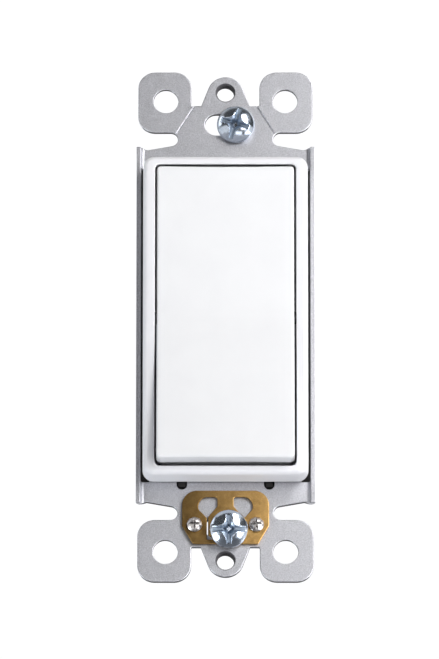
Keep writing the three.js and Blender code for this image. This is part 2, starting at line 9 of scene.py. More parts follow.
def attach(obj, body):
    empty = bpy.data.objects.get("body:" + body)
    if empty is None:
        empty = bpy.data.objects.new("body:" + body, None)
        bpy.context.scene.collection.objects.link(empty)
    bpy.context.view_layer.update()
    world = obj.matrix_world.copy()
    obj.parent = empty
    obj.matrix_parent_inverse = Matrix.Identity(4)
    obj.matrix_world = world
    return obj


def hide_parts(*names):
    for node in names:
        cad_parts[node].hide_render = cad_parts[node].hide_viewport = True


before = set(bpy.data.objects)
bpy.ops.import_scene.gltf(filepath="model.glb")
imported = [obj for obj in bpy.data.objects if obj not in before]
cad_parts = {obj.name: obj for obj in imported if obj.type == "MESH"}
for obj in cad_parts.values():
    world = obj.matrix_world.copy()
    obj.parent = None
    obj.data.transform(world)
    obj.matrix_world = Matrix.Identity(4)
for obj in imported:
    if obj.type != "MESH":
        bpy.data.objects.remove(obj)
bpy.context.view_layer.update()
MM = 0.001
rad = math.radians

# ------------------------------------------------------------------ driving dimensions, in mm, as in the CAD
STRAP_T = 0.9
STRAP_HALF = 52.7
EAR_X0, EAR_X1, EAR_Z0, EAR_R = 6.7, 17.25, 40.05, 3.4
EAR_HOLE = (11.77, 46.6, 2.45)
TAB_R, TAB_TOP, TAB_ROOT_X, TAB_ROOT_Z = 3.6, 51.7, 4.8, 45.65
COVER_Z, COVER_R, COLLAR_R, COLLAR_Y = 48.4, 1.72, 2.45, 1.7
SLOT_Z, SLOT_HX, SLOT_HZ = 41.67, 4.05, 2.175
NOTCH_X, NOTCH_Z, NOTCH_R = 10.8, 38.65, 1.4
RAIL_INNER, RAIL_X, RAIL_FRONT, RAIL_Z, BEND = 16.65, 17.55, -1.9, 36.8, 0.7
PIVOT_Y, HALF_TILT = -5.3, 2.9


# ------------------------------------------------------------------ node helpers
def new_mat(name):
    m = bpy.data.materials.new(name)
    m.use_nodes = True
    nt = m.node_tree
    nt.nodes.clear()
    out = nt.nodes.new("ShaderNodeOutputMaterial")
    bs = nt.nodes.new("ShaderNodeBsdfPrincipled")
    nt.links.new(bs.outputs[0], out.inputs[0])
    return m, nt, bs


def put(nt, n, key, v):
    s = n.inputs[key]
    if isinstance(v, bpy.types.NodeSocket):
        nt.links.new(v, s)
    else:
        s.default_value = v


def coords(nt, scale=(1, 1, 1), turn=(0, 0, 0)):
    tc = nt.nodes.new("ShaderNodeTexCoord")
    mp = nt.nodes.new("ShaderNodeMapping")
    nt.links.new(tc.outputs["Object"], mp.inputs["Vector"])
    mp.inputs["Scale"].default_value = scale
    mp.inputs["Rotation"].default_value = turn
    return mp.outputs[0]


def noise(nt, vec, scale, detail=3.0, rough=0.55, distortion=0.0):
    n = nt.nodes.new("ShaderNodeTexNoise")
    put(nt, n, "Vector", vec)
    put(nt, n, "Scale", scale)
    put(nt, n, "Detail", detail)
    put(nt, n, "Roughness", rough)
    put(nt, n, "Distortion", distortion)
    return n.outputs["Fac"]


def ramp(nt, fac, stops):
    n = nt.nodes.new("ShaderNodeValToRGB")
    put(nt, n, "Fac", fac)
    e = n.color_ramp.elements
    while len(e) < len(stops):
        e.new(0.5)
    for el, (p, c) in zip(e, stops):
        el.position = p
        el.color = (*c, 1.0) if len(c) == 3 else c
    return n.outputs["Color"]


def remap(nt, v, a, b, c, d):
    n = nt.nodes.new("ShaderNodeMapRange")
    for k, x in (("Value", v), ("From Min", a), ("From Max", b), ("To Min", c), ("To Max", d)):
        put(nt, n, k, x)
    return n.outputs[0]


def calc(nt, op, a, b=0.0):
    n = nt.nodes.new("ShaderNodeMath")
    n.operation = op
    put(nt, n, 0, a)
    put(nt, n, 1, b)
    return n.outputs[0]


def painted_gap_shade(nt, distance, stops):
    """Painted shade: the colour darkens where another surface stands close by, as it does in a gap that light barely
    reaches.
    """
    ao = nt.nodes.new("ShaderNodeAmbientOcclusion")
    ao.samples = 6
    put(nt, ao, "Distance", distance * 0.001)
    return ramp(nt, ao.outputs["AO"], stops)


def mix(nt, fac, a, b, kind="MIX"):
    n = nt.nodes.new("ShaderNodeMix")
    n.data_type = "RGBA"
    n.blend_type = kind
    put(nt, n, 0, fac)
    put(nt, n, 6, a)
    put(nt, n, 7, b)
    return n.outputs[2]


def bump(nt, height, distance, strength=1.0, under=None):
    n = nt.nodes.new("ShaderNodeBump")
    put(nt, n, "Height", height)
    put(nt, n, "Distance", distance)
    put(nt, n, "Strength", strength)
    if under is not None:
        nt.links.new(under, n.inputs["Normal"])
    return n.outputs[0]


def metal(name, dark, light, rough=(0.3, 0.45), mottle=350.0, grain=5200.0, grain_depth=6e-6, streak=None, streak_depth=0.0, grain_mix=0.35, side_shading=None, crevice_shade=None, bare_edges_and_shade=False, satin_and_shade=None):
    """Plated or rolled metal: slow mottling, fine grain in colour and height, and rolling streaks along one axis."""
    m, nt, bs = new_mat(name)
    v = coords(nt)
    big = noise(nt, v, mottle, 4, 0.6)
    fine = noise(nt, v, grain, 2, 0.6)
    col = ramp(nt, big, [(0.30, dark), (0.72, light)])
    speck = ramp(nt, fine, [(0.32, (0.80, 0.80, 0.80)), (0.68, (1.12, 1.12, 1.12))])
    col = mix(nt, grain_mix, col, mix(nt, 1.0, col, speck, "MULTIPLY"))
    nrm = bump(nt, fine, grain_depth)
    if streak:
        sv = coords(nt, streak)
        st = noise(nt, sv, 1500.0, 3, 0.6)
        col = mix(nt, 0.35, col, mix(nt, 1.0, col, ramp(nt, st, [(0.35, (0.78, 0.78, 0.78)), (0.65, (1.1, 1.1, 1.1))]), "MULTIPLY"))
        nrm = bump(nt, st, streak_depth, 1.0, nrm)
    rgh = remap(nt, noise(nt, v, mottle * 3.1, 3, 0.5), 0.3, 0.7, *rough)
    metallic = 1.0
    if satin_and_shade:  # cold-formed surfaces inside a recess are rougher than the head round them; the recess colour is also darkened there, which is painted shade
        at = nt.nodes.new("ShaderNodeAttribute")
        at.attribute_name = "inside"
        col = mix(nt, at.outputs["Fac"], col, mix(nt, 1.0, col, satin_and_shade[1], "MULTIPLY"))
        rgh = calc(nt, "ADD", rgh, calc(nt, "MULTIPLY", at.outputs["Fac"], satin_and_shade[0]))
    # painted shade: the colour darkens where another surface stands close, in crevices and gaps between parts
    if crevice_shade:
        col = mix(nt, 1.0, col, painted_gap_shade(nt, crevice_shade[0], [(crevice_shade[1], (0.045, 0.045, 0.055)), (crevice_shade[2], (1.0, 1.0, 1.0))]), "MULTIPLY")
    if bare_edges_and_shade:  # sheared edges are painted near black and dull: partly bare steel where the plating is missing, partly painted shade on the walls of the holes and outer edges; the bent rails and the tab behind keep their plating
        tc = nt.nodes.new("ShaderNodeTexCoord")
        ns, ps = nt.nodes.new("ShaderNodeSeparateXYZ"), nt.nodes.new("ShaderNodeSeparateXYZ")
        nt.links.new(tc.outputs["Normal"], ns.inputs[0])
        nt.links.new(v, ps.inputs[0])
        face = remap(nt, calc(nt, "ABSOLUTE", ns.outputs["Y"]), 0.12, 0.50, 0.0, 1.0)
        rail = remap(nt, calc(nt, "ABSOLUTE", ps.outputs["X"]), 0.01625, 0.0165, 0.0, 1.0)
        tab = remap(nt, ps.outputs["Y"], 0.0019, 0.0022, 0.0, 1.0)
        keep = calc(nt, "MAXIMUM", face, calc(nt, "MAXIMUM", rail, tab))
        dz = calc(nt, "SUBTRACT", calc(nt, "ABSOLUTE", ps.outputs["Z"]), COVER_Z * 0.001)
        off = calc(nt, "SQRT", calc(nt, "ADD", calc(nt, "MULTIPLY", ps.outputs["X"], ps.outputs["X"]), calc(nt, "MULTIPLY", dz, dz)))
        keep = calc(nt, "MULTIPLY", keep, remap(nt, off, 0.00193, 0.00205, 0.12, 1.0))  # painted shade: the threads inside the cover-plate holes are painted dark
        col = mix(nt, 1.0, col, ramp(nt, keep, [(0.0, (0.06, 0.055, 0.06)), (1.0, (1.0, 1.0, 1.0))]), "MULTIPLY")
        metallic = keep
        put(nt, bs, "Specular IOR Level", remap(nt, keep, 0.0, 1.0, 0.12, 0.5))
    if side_shading:  # painted shading: the colour darkens towards one side and brightens towards the other, as the light falls
        sep = nt.nodes.new("ShaderNodeSeparateXYZ")
        nt.links.new(v, sep.inputs[0])
        side = remap(nt, sep.outputs["X"], -side_shading[0] * 0.001, side_shading[0] * 0.001, side_shading[1], side_shading[2])
        col = mix(nt, 1.0, col, side, "MULTIPLY")
    put(nt, bs, "Base Color", col)
    put(nt, bs, "Metallic", metallic)
    put(nt, bs, "Roughness", rgh)
    put(nt, bs, "Normal", nrm)
    return m


def plastic(name, dark, light, rough=(0.3, 0.36), grain=9000.0, grain_depth=2e-6, wave_depth=0.0, specular=0.5, coat=0.0, crevice_shade=0.0, eased=0.0):
    """Moulded plastic: faint flow mottling, fine tool texture and slow waviness of the surface."""
    m, nt, bs = new_mat(name)
    v = coords(nt)
    flow = noise(nt, v, 120.0, 3, 0.5, 0.4)
    fine = noise(nt, v, grain, 2, 0.5)
    col = ramp(nt, flow, [(0.3, dark), (0.7, light)])
    # painted shade: the colour goes near black deep in gaps and crevices next to other parts
    if crevice_shade:
        shade = painted_gap_shade(nt, crevice_shade, [(0.13, (0.010, 0.009, 0.010)), (0.31, (0.34, 0.33, 0.35)), (0.48, (1.0, 1.0, 1.0))])
        col = mix(nt, 1.0, col, shade, "MULTIPLY")
    put(nt, bs, "Base Color", col)
    put(nt, bs, "Roughness", remap(nt, fine, 0.3, 0.7, *rough))
    put(nt, bs, "Specular IOR Level", specular)
    soft = None
    if eased:
        bv = nt.nodes.new("ShaderNodeBevel")
        bv.samples = 6
        put(nt, bv, "Radius", eased * 0.001)
        soft = bv.outputs[0]
    nrm = bump(nt, fine, grain_depth, 1.0, soft)
    if wave_depth:
        nrm = bump(nt, noise(nt, v, 60.0, 1, 0.4), wave_depth, 1.0, nrm)
    put(nt, bs, "Normal", nrm)
    if coat:
        put(nt, bs, "Coat Weight", coat)
        put(nt, bs, "Coat Roughness", 0.12)
    return m


MAT = {
    "galvanised_steel": metal("galvanised_steel", (0.627, 0.627, 0.662), (0.669, 0.669, 0.702), (0.40, 0.48), 900.0, 4300.0, 1.4e-5, None, 0.0, 0.95, None, (1.5, 0.05, 0.46), True),
    "white_plastic": plastic("white_plastic", (0.723, 0.720, 0.742), (0.752, 0.749, 0.768), (0.30, 0.38), crevice_shade=1.4),
    "white_plastic_gloss": plastic("white_plastic_gloss", (0.747, 0.747, 0.759), (0.771, 0.771, 0.781), (0.20, 0.26), 7000.0, 1e-6, 2e-5, 0.5, 0.12, 1.4),
    "acetal": plastic("acetal", (0.62, 0.50, 0.28), (0.72, 0.60, 0.36), (0.35, 0.45)),
    "spring_steel": metal("spring_steel", (0.34, 0.35, 0.37), (0.52, 0.53, 0.55), (0.22, 0.32), 500.0, 8000.0, 3e-6, (1, 1, 9), 3e-6),
    "copper_alloy": metal("copper_alloy", (0.50, 0.24, 0.13), (0.66, 0.36, 0.21), (0.25, 0.38), 400.0, 6000.0, 4e-6, (9, 9, 1), 4e-6),
    "silver_contact": metal("silver_contact", (0.72, 0.71, 0.69), (0.86, 0.85, 0.83), (0.18, 0.30), 700.0, 9000.0, 3e-6),
    "black_plastic": plastic("black_plastic", (0.013, 0.0125, 0.012), (0.022, 0.020, 0.019), (0.42, 0.58), 4500.0, 1.4e-5, 3e-5, 0.4, eased=0.35),
    "steel_screw": metal("steel_screw", (0.50, 0.52, 0.55), (0.66, 0.68, 0.71), (0.22, 0.34), 500.0, 7000.0, 4e-6),
    "brass_plate": metal("brass_plate", (0.60, 0.40, 0.15), (0.76, 0.54, 0.23), (0.26, 0.38), 350.0, 6500.0, 4e-6, (1, 1, 10), 4e-6),
    "brass_screw": metal("brass_screw", (0.62, 0.42, 0.16), (0.78, 0.56, 0.24), (0.30, 0.40), 450.0, 7000.0, 4e-6, None, 0.0, 0.35, None, (1.0, 0.20, 0.80)),
    "nickel_plate": metal("nickel_plate", (0.64, 0.60, 0.58), (0.82, 0.78, 0.76), (0.24, 0.34), 700.0, 8000.0, 3e-6, None, 0.0, 0.35, None, (0.60, 0.38, 0.97)),
    "green_screw": metal("green_screw", (0.020, 0.15, 0.055), (0.045, 0.25, 0.10), (0.26, 0.36), 450.0, 7000.0, 4e-6),
    # the brass clip is painted darker on its left and lighter on its right, as the light falls; painted shade also
    # darkens it near the screw head and rivets
    "brass_clip": metal("brass_clip", (0.350, 0.205, 0.070), (0.480, 0.300, 0.108), (0.34, 0.46), 420.0, 5600.0, 6e-6, (1, 9, 9), 4e-6, 0.5, (8.0, 0.52, 1.7), (2.2, 0.08, 0.60)),
    "blue_zinc": metal("blue_zinc", (0.50, 0.575, 0.68), (0.74, 0.79, 0.86), (0.14, 0.20), 420.0, 7000.0, 2e-6, None, 0.0, 0.2, None, (1.0, 0.04, 0.60), False, (0.26, (0.66, 0.71, 0.76, 1.0))),
    "fibre": plastic("fibre", (0.38, 0.29, 0.18), (0.54, 0.43, 0.29), (0.7, 0.85), 3000.0, 2.5e-5),
}


# ------------------------------------------------------------------ 2-D outlines
def P(x, z):
    return Vector((x, z))


def arc(cx, cz, r, a0, a1, n):
    return [P(cx + r * math.cos(rad(a0 + (a1 - a0) * i / n)), cz + r * math.sin(rad(a0 + (a1 - a0) * i / n))) for i in range(n + 1)]


def rounded(corners, step=7.5):
    out, n = [], len(corners)
    for i, c in enumerate(corners):
        x, z = c[0], c[1]
        r = c[2] if len(c) > 2 else 0.0
        if not r:
            out.append(P(x, z))
            continue
        p, q = corners[i - 1], corners[(i + 1) % n]
        u, v = P(p[0] - x, p[1] - z).normalized(), P(q[0] - x, q[1] - z).normalized()
        half = math.acos(max(-1.0, min(1.0, u.dot(v)))) / 2
        t, d = r / math.tan(half), r / math.sin(half)
        m = (u + v).normalized()
        c0 = P(x, z) + m * d
        a0 = math.atan2(z + u.y * t - c0.y, x + u.x * t - c0.x)
        da = math.atan2(z + v.y * t - c0.y, x + v.x * t - c0.x) - a0
        while da > math.pi:
            da -= 2 * math.pi
        while da < -math.pi:
            da += 2 * math.pi
        k = max(3, math.ceil(abs(da) / rad(step)))
        out += [P(c0.x + r * math.cos(a0 + da * j / k), c0.y + r * math.sin(a0 + da * j / k)) for j in range(k + 1)]
    return out


def clean(pts):
    out = []
    for p in pts:
        if not out or (out[-1] - p).length > 1e-4:
            out.append(p)
    if len(out) > 1 and (out[0] - out[-1]).length < 1e-4:
        out.pop()
    return out


def area(pts):
    return sum(a.x * b.y - b.x * a.y for a, b in zip(pts, pts[1:] + pts[:1])) / 2


def wound(pts, ccw=True):
    pts = clean(pts)
    return pts if (area(pts) > 0) == ccw else pts[::-1]


def circle(x, z, r, n=64):
    return [P(x + r * math.cos(2 * math.pi * i / n), z + r * math.sin(2 * math.pi * i / n)) for i in range(n)]


def offset(loop, d):
    """Moves a loop into the material, which lies on its left."""
    out, n = [], len(loop)
    for i in range(n):
        a, p, b = loop[i - 1], loop[i], loop[(i + 1) % n]
        e0, e1 = (p - a).normalized(), (b - p).normalized()
        n0, n1 = P(-e0.y, e0.x), P(-e1.y, e1.x)
        out.append(p + (n0 + n1) * (d / max(1 + n0.dot(n1), 0.4)))
    return out


def roll(b, y0, out_first, n=4):
    """(offset, y) from a flat face at y0 round an edge of radius abs(b), towards +y if out_first else arriving from it."""
    pts = [(b * (1 - math.sin(rad(90 * i / n))), y0 + b * (1 - math.cos(rad(90 * i / n))) * (1 if out_first else -1)) for i in range(n + 1)]
    return pts if out_first else pts[::-1]


# ------------------------------------------------------------------ mesh builders, all in mm
def sheet(bm, loops, y0, y1, front=0.12, back=0.05, chamfer=None):
    """A flat sheet from outlines in XZ, front face at y0, with rolled edges. loops[0] is the outside."""
    first, last = [], []
    for i, loop in enumerate(loops):
        prof = roll(front, y0, True) + roll(back, y1, False, 2)
        if chamfer and i in chamfer:
            o, d = chamfer[i]
            prof = [(o + 0.05, y0), (o, y0 + 0.02), (0.04, y0 + d - 0.02), (0.0, y0 + d + 0.04)] + roll(back, y1, False, 2)
        rings = []
        for o, y in prof:
            rings.append([bm.verts.new((p.x, y, p.y)) for p in offset(loop, o)])
        n = len(loop)
        for a, b in zip(rings, rings[1:]):
            for k in range(n):
                bm.faces.new((a[k], a[(k + 1) % n], b[(k + 1) % n], b[k]))
        first.append(rings[0])
        last.append(rings[-1])
    for cap in (first, last):
        flat = [v for r in cap for v in r]
        for t in tessellate_polygon([[Vector((v.co.x, v.co.z, 0)) for v in r] for r in cap]):
            try:
                bm.faces.new([flat[j] for j in t])
            except ValueError:
                pass
    return bm


def rr(hx, hz, r, n=10):
    """A rounded rectangle with the same number of points whatever its size."""
    pts = []
    for cx, cz, a in ((hx - r, hz - r, 0), (-hx + r, hz - r, 90), (-hx + r, -hz + r, 180), (hx - r, -hz + r, 270)):
        pts += arc(cx, cz, r, a, a + 90, n)
    return pts


def loft(bm, rings, closed=False, cap0=False, cap1=False):
    """rings: lists of (x, y, z), all of one length."""
    vs = [[bm.verts.new(p) for p in r] for r in rings]
    n = len(vs[0])
    pairs = list(zip(vs, vs[1:])) + ([(vs[-1], vs[0])] if closed else [])
    for a, b in pairs:
        for k in range(n):
            bm.faces.new((a[k], a[(k + 1) % n], b[(k + 1) % n], b[k]))
    if cap0:
        bm.faces.new(vs[0])
    if cap1:
        bm.faces.new(vs[-1])
    return vs


def polar(bm, rings, n, top_y, bottom_y):
    """Closed round piece about Y. rings: functions of (cos, sin, turn) giving (radius, y)."""
    cs = [(math.cos(2 * math.pi * k / n), math.sin(2 * math.pi * k / n), k / n) for k in range(n)]
    vs = []
    for f in rings:
        row = []
        for c, s, t in cs:
            r, y = f(c, s, t)
            row.append(bm.verts.new((r * c, y, r * s)))
        vs.append(row)
    for a, b in zip(vs, vs[1:]):
        for k in range(n):
            bm.faces.new((a[k], a[(k + 1) % n], b[(k + 1) % n], b[k]))
    for row, y in ((vs[0], top_y), (vs[-1], bottom_y)):
        c = bm.verts.new((0, y, 0))
        for k in range(n):
            bm.faces.new((row[k], row[(k + 1) % n], c))


def tube(bm, x, z, ri, ro, y0, y1, n=48, e=0.08):
    prof = [(ri, y0 + e), (ri + e, y0), (ro - e, y0), (ro, y0 + e), (ro, y1 - e), (ro - e, y1), (ri + e, y1), (ri, y1 - e)]
    loft(bm, [[(x + r * math.cos(2 * math.pi * k / n), y, z + r * math.sin(2 * math.pi * k / n)) for k in range(n)] for r, y in prof], closed=True)


def rod(bm, a, b, r, n=32, e=0.12):
    """A round bar between two points, its ends eased."""
    a, b = Vector(a), Vector(b)
    d = (b - a).normalized()
    u = d.orthogonal().normalized()
    w = d.cross(u)
    L = (b - a).length
    loft(bm, [[a + d * t + (u * math.cos(2 * math.pi * k / n) + w * math.sin(2 * math.pi * k / n)) * q for k in range(n)] for t, q in ((0, r - e), (e, r), (L - e, r), (L, r - e))], cap0=True, cap1=True)


def slab(bm, x0, x1, y0, y1, z0, z1, e=0.15):
    loft(bm, [[(p.x + (x0 + x1) / 2, y, p.y + (z0 + z1) / 2) for p in rr((x1 - x0) / 2 - o, (z1 - z0) / 2 - o, max(0.05, e - o), 4)] for o, y in ((e, y0), (0.3 * e, y0 + 0.3 * e), (0, y0 + e), (0, y1 - e), (0.3 * e, y1 - 0.3 * e), (e, y1))], cap0=True, cap1=True)


def cut_plane(bm, co, no, faces=None):
    if faces is None:
        geom = bm.verts[:] + bm.edges[:] + bm.faces[:]
    else:
        geom = list({v for f in faces for v in f.verts}) + list({e for f in faces for e in f.edges}) + list(faces)
    bmesh.ops.bisect_plane(bm, geom=geom, dist=1e-5, plane_co=co, plane_no=no)


def flat_normals(me, d):
    """Faces square to d keep their own normal right up to the rolled edge round them."""
    flat = {p.index: (1 if p.normal.dot(d) > 0 else -1) for p in me.polygons if abs(p.normal.dot(d)) > 0.9995}
    at = {}
    for p in me.polygons:
        if p.index in flat:
            for v in p.vertices:
                at[v] = flat[p.index]
    corner = [c.vector.copy() for c in me.corner_normals]
    out = [None] * len(me.loops)
    for p in me.polygons:
        for li in p.loop_indices:
            v = me.loops[li].vertex_index
            if p.index in flat:
                out[li] = d * flat[p.index]
            elif v in at and p.normal.dot(d) * at[v] > 0.8:
                out[li] = d * at[v]
            else:
                out[li] = corner[li]
    me.normals_split_custom_set(out)


def emit(bm, node, slot, body, M=None, sharp=34.0, extra=(), flat=False):
    """Turns a bmesh in mm into the piece that stands for a CAD node."""
    if M is not None:
        bm.transform(M)
    bm.transform(Matrix.Scale(MM, 4))
    bmesh.ops.recalc_face_normals(bm, faces=bm.faces)
    me = bpy.data.meshes.new("v_" + node)
    bm.to_mesh(me)
    bm.free()
    ob = bpy.data.objects.new("v_" + node, me)
    bpy.context.scene.collection.objects.link(ob)
    me.shade_smooth()
    me.set_sharp_from_angle(angle=rad(sharp))
    me.materials.append(MAT[slot])
    if flat:
        flat_normals(me, ((M.to_3x3() if M is not None else Matrix.Identity(3)) @ Vector((0, 1, 0))).normalized())
    else:
        w = ob.modifiers.new("normals", "WEIGHTED_NORMAL")
        w.keep_sharp = True
        w.weight = 60
    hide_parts(node, *extra)
    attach(ob, body)
    return ob


def T(x, y, z):
    return Matrix.Translation((x, y, z))


def R(deg, axis):
    return Matrix.Rotation(rad(deg), 4, axis)


# ------------------------------------------------------------------ mounting strap
FLAT_X0 = RAIL_INNER - BEND  # where the bend starts
BEND_Y = -STRAP_T - BEND
NEUTRAL = BEND + STRAP_T / 2
FLAT_X1 = FLAT_X0 + NEUTRAL * math.pi / 2
FLAT_END = FLAT_X1 + (BEND_Y - RAIL_FRONT)
WINDOW_X = 17.15  # in the flat blank


def strap():
    dz = TAB_ROOT_Z - (TAB_TOP - TAB_R)
    dist = math.hypot(TAB_ROOT_X, dz)
    side = math.degrees(math.atan2(dz, TAB_ROOT_X) + math.acos(TAB_R / dist))
    q = arc(0, TAB_TOP - TAB_R, TAB_R, 90, side, 14)
    q += rounded([(TAB_ROOT_X, TAB_ROOT_Z), (EAR_X0, TAB_ROOT_Z, 0.22), (EAR_X0, STRAP_HALF, EAR_R), (EAR_X1, STRAP_HALF, EAR_R), (EAR_X1, EAR_Z0, EAR_R), (NOTCH_X, EAR_Z0), (5, 43)])[:-1]
    q += arc(NOTCH_X, NOTCH_Z, NOTCH_R, 90, 262, 20)
    q += [P(15.4, 36.4), P(15.95, 36.55), P(16.6, 36.8)] + arc(FLAT_END - 0.25, RAIL_Z - 0.25, 0.25, 90, 0, 4)
    flip = lambda pts, sx, sz: [P(p.x * sx, p.y * sz) for p in pts]
    outer = wound(q + flip(q, 1, -1)[::-1] + flip(q, -1, -1) + flip(q, -1, 1)[::-1])

    # window, one quadrant from the middle of its top edge to the middle of its right side
    w = [P(0, 31.9), P(7.55, 31.9)] + arc(8.55, 32.8, 1.0, 180, 0, 14) + [P(9.55, 31.9), P(14.9, 31.9)]
    w += rounded([(14.9, 31.9), (14.9, 32.3, 0.15), (WINDOW_X, 32.3, 0.35), (WINDOW_X, 0)])[1:]
    window = wound(w + flip(w, 1, -1)[::-1] + flip(w, -1, -1) + flip(w, -1, 1)[::-1], False)
    loops, chamfer = [outer, window], {}
    for sz in (1, -1):
        for sx in (1, -1):
            chamfer[len(loops)] = (0.07, 0.06)
            loops.append(wound(circle(sx * EAR_HOLE[0], sz * EAR_HOLE[1], EAR_HOLE[2]), False))
        chamfer[len(loops)] = (0.12, 0.12)
        loops.append(wound(circle(0, sz * COVER_Z, COVER_R + 0.08), False))
        c = SLOT_HX - SLOT_HZ
        loops.append(wound(arc(c, sz * SLOT_Z, SLOT_HZ, -90, 90, 26) + arc(-c, sz * SLOT_Z, SLOT_HZ, 90, 270, 26), False))
    bm = bmesh.new()
    sheet(bm, loops, -STRAP_T, 0.0, 0.17, 0.06, chamfer)

    # break-off score lines: a V pressed into the front, from the flat beside the tab to the notch under the ear
    for sx in (1, -1):
        for sz in (1,):
            a, b = Vector((6.0 * sx, 0, 45.9 * sz)), Vector((9.7 * sx, 0, 39.85 * sz))
            d = (b - a).normalized()
            no, length = Vector((-d.z, 0, d.x)), (b - a).length

            def front_faces():
                out = []
                for f in bm.faces:
                    c = f.calc_center_median()
                    if c.x * sx > 0 and c.z * sz > 33 and max(v.co.y for v in f.verts) < -0.3:
                        out.append(f)
                return out
            for t in (0.0, 0.25, 0.5, 0.75, 1.0):
                cut_plane(bm, a + d * length * t, d, front_faces())
            for w in (-0.21, 0.0, 0.21):
                cut_plane(bm, a + no * w, no, front_faces())
            for v in bm.verts:
                q = v.co - a
                q.y = 0
                if v.co.y < -0.7 and abs(q.dot(no)) < 2e-3 and -1e-2 <= q.dot(d) <= length + 1e-2:
                    v.co.y += 0.25 if sx > 0 else 0.17

    # the sides bent forward into rails
    steps = 9
    for sx in (1, -1):
        for k in range(steps + 1):
            x = FLAT_X0 + (FLAT_X1 - FLAT_X0) * k / steps
            cut_plane(bm, (sx * x, 0, 0), (1, 0, 0))
    for v in bm.verts:
        x = abs(v.co.x)
        if x <= FLAT_X0 or abs(v.co.z) > RAIL_Z + 0.01:
            continue
        s = 1 if v.co.x > 0 else -1
        rho = v.co.y - BEND_Y
        f = min((x - FLAT_X0) / NEUTRAL, math.pi / 2)
        v.co.x = s * (FLAT_X0 + rho * math.sin(f))
        v.co.y = BEND_Y + rho * math.cos(f) - max(0.0, x - FLAT_X1)

    # collars of the tapped cover-plate holes, threaded inside
    n = 72
    for sz in (1, -1):
        prof = []
        ys = [-0.62 + 0.055 * i for i in range(43)]
        for y in ys:
            prof.append(("t", y))
        prof += [("r", COVER_R + 0.32, 1.72), ("r", COLLAR_R - 0.18, 1.70), ("r", COLLAR_R, 1.5), ("r", COLLAR_R, 0.12), ("r", COLLAR_R + 0.12, -0.03), ("r", COVER_R + 0.2, -0.05), ("r", COVER_R + 0.2, -0.58)]
        rings = []
        for p in prof:
            row = []
            for k in range(n):
                t = k / n
                if p[0] == "t":
                    ph = (p[1] / 0.794 - t) % 1.0
                    r, y = COVER_R - 0.04 + 0.24 * (1 - abs(2 * ph - 1)), p[1]
                else:
                    r, y = p[1], p[2]
                row.append((r * math.cos(2 * math.pi * t), y, sz * COVER_Z + r * math.sin(2 * math.pi * t)))
            rings.append(row)
        loft(bm, rings, closed=True)

    # ground terminal tab, bent back from the window's lower edge
    tab = bmesh.new()
    sheet(tab, [wound(rounded([(-3.6, 0.6), (3.6, 0.6), (3.6, 14, 1.1), (-3.6, 14, 1.1)])), wound(circle(0, 10, 2.05), False)], -0.45, 0.45, 0.14, 0.06)
    tab.transform(T(-3.6, 0, -30.15) @ R(-90, "X"))
    me = bpy.data.meshes.new("tab")
    tab.to_mesh(me)
    tab.free()
    bm.from_mesh(me)
    bpy.data.meshes.remove(me)
    slab(bm, -7.2, 0.0, -0.86, -0.04, -32.3, -29.75, 0.1)
    return bm


emit(strap(), "mounting_strap", "galvanised_steel", "switch_body", sharp=33, flat=True)


# ------------------------------------------------------------------ front frame
def ring(hx, hz, r, y, n=12):
    return [(p.x, y, p.y) for p in rr(hx, hz, r, n)]


def front_frame():
    bm = bmesh.new()
    rings = [ring(15.9, 32.3, 1.6, -1.2), ring(15.9, 32.3, 1.6, -2.5), ring(15.95, 32.55, 1.8, -2.6), ring(16.05, 32.67, 2.02, -2.6), ring(16.19, 32.81, 2.16, -2.68), ring(16.23, 32.85, 2.2, -2.85), ring(16.19, 32.81, 2.16, -6.9)]
    # rounded shoulder, a little flatter than a quarter circle
    for i in range(1, 11):
        a = rad(9 * i)
        o, d = 0.98 * (1 - math.cos(a)) ** 0.92, 0.92 * math.sin(a)
        rings.append(ring(16.19 - o, 32.81 - o, max(0.9, 2.16 - o), -6.98 - d))
    rings.append(ring(14.12, 31.37, 1.22, -7.9))
    for i in range(1, 6):
        a = rad(18 * i)
        o = 0.24 * math.sin(a)
        rings.append(ring(14.09 - o, 31.34 - o, 1.19 - o * 0.8, -7.9 + 0.24 * (1 - math.cos(a))))
    rings += [ring(13.85, 31.1, 1.0, -7.4), ring(13.85, 31.1, 1.0, -1.75), ring(13.6, 30.85, 0.8, -1.5), ring(5.6, 7.1, 0.5, -1.5), ring(5.5, 7.0, 0.4, -1.42), ring(5.5, 7.0, 0.4, -1.24), ring(5.6, 7.1, 0.5, -1.2)]
    loft(bm, rings, closed=True)
    for sx in (1, -1):
        for sz in (1, -1):
            tube(bm, sx * 9.8, sz * 24.5, 1.2, 2.8, -1.3, 6.2, 40)
    return bm


emit(front_frame(), "front_frame", "white_plastic", "switch_body", sharp=60)


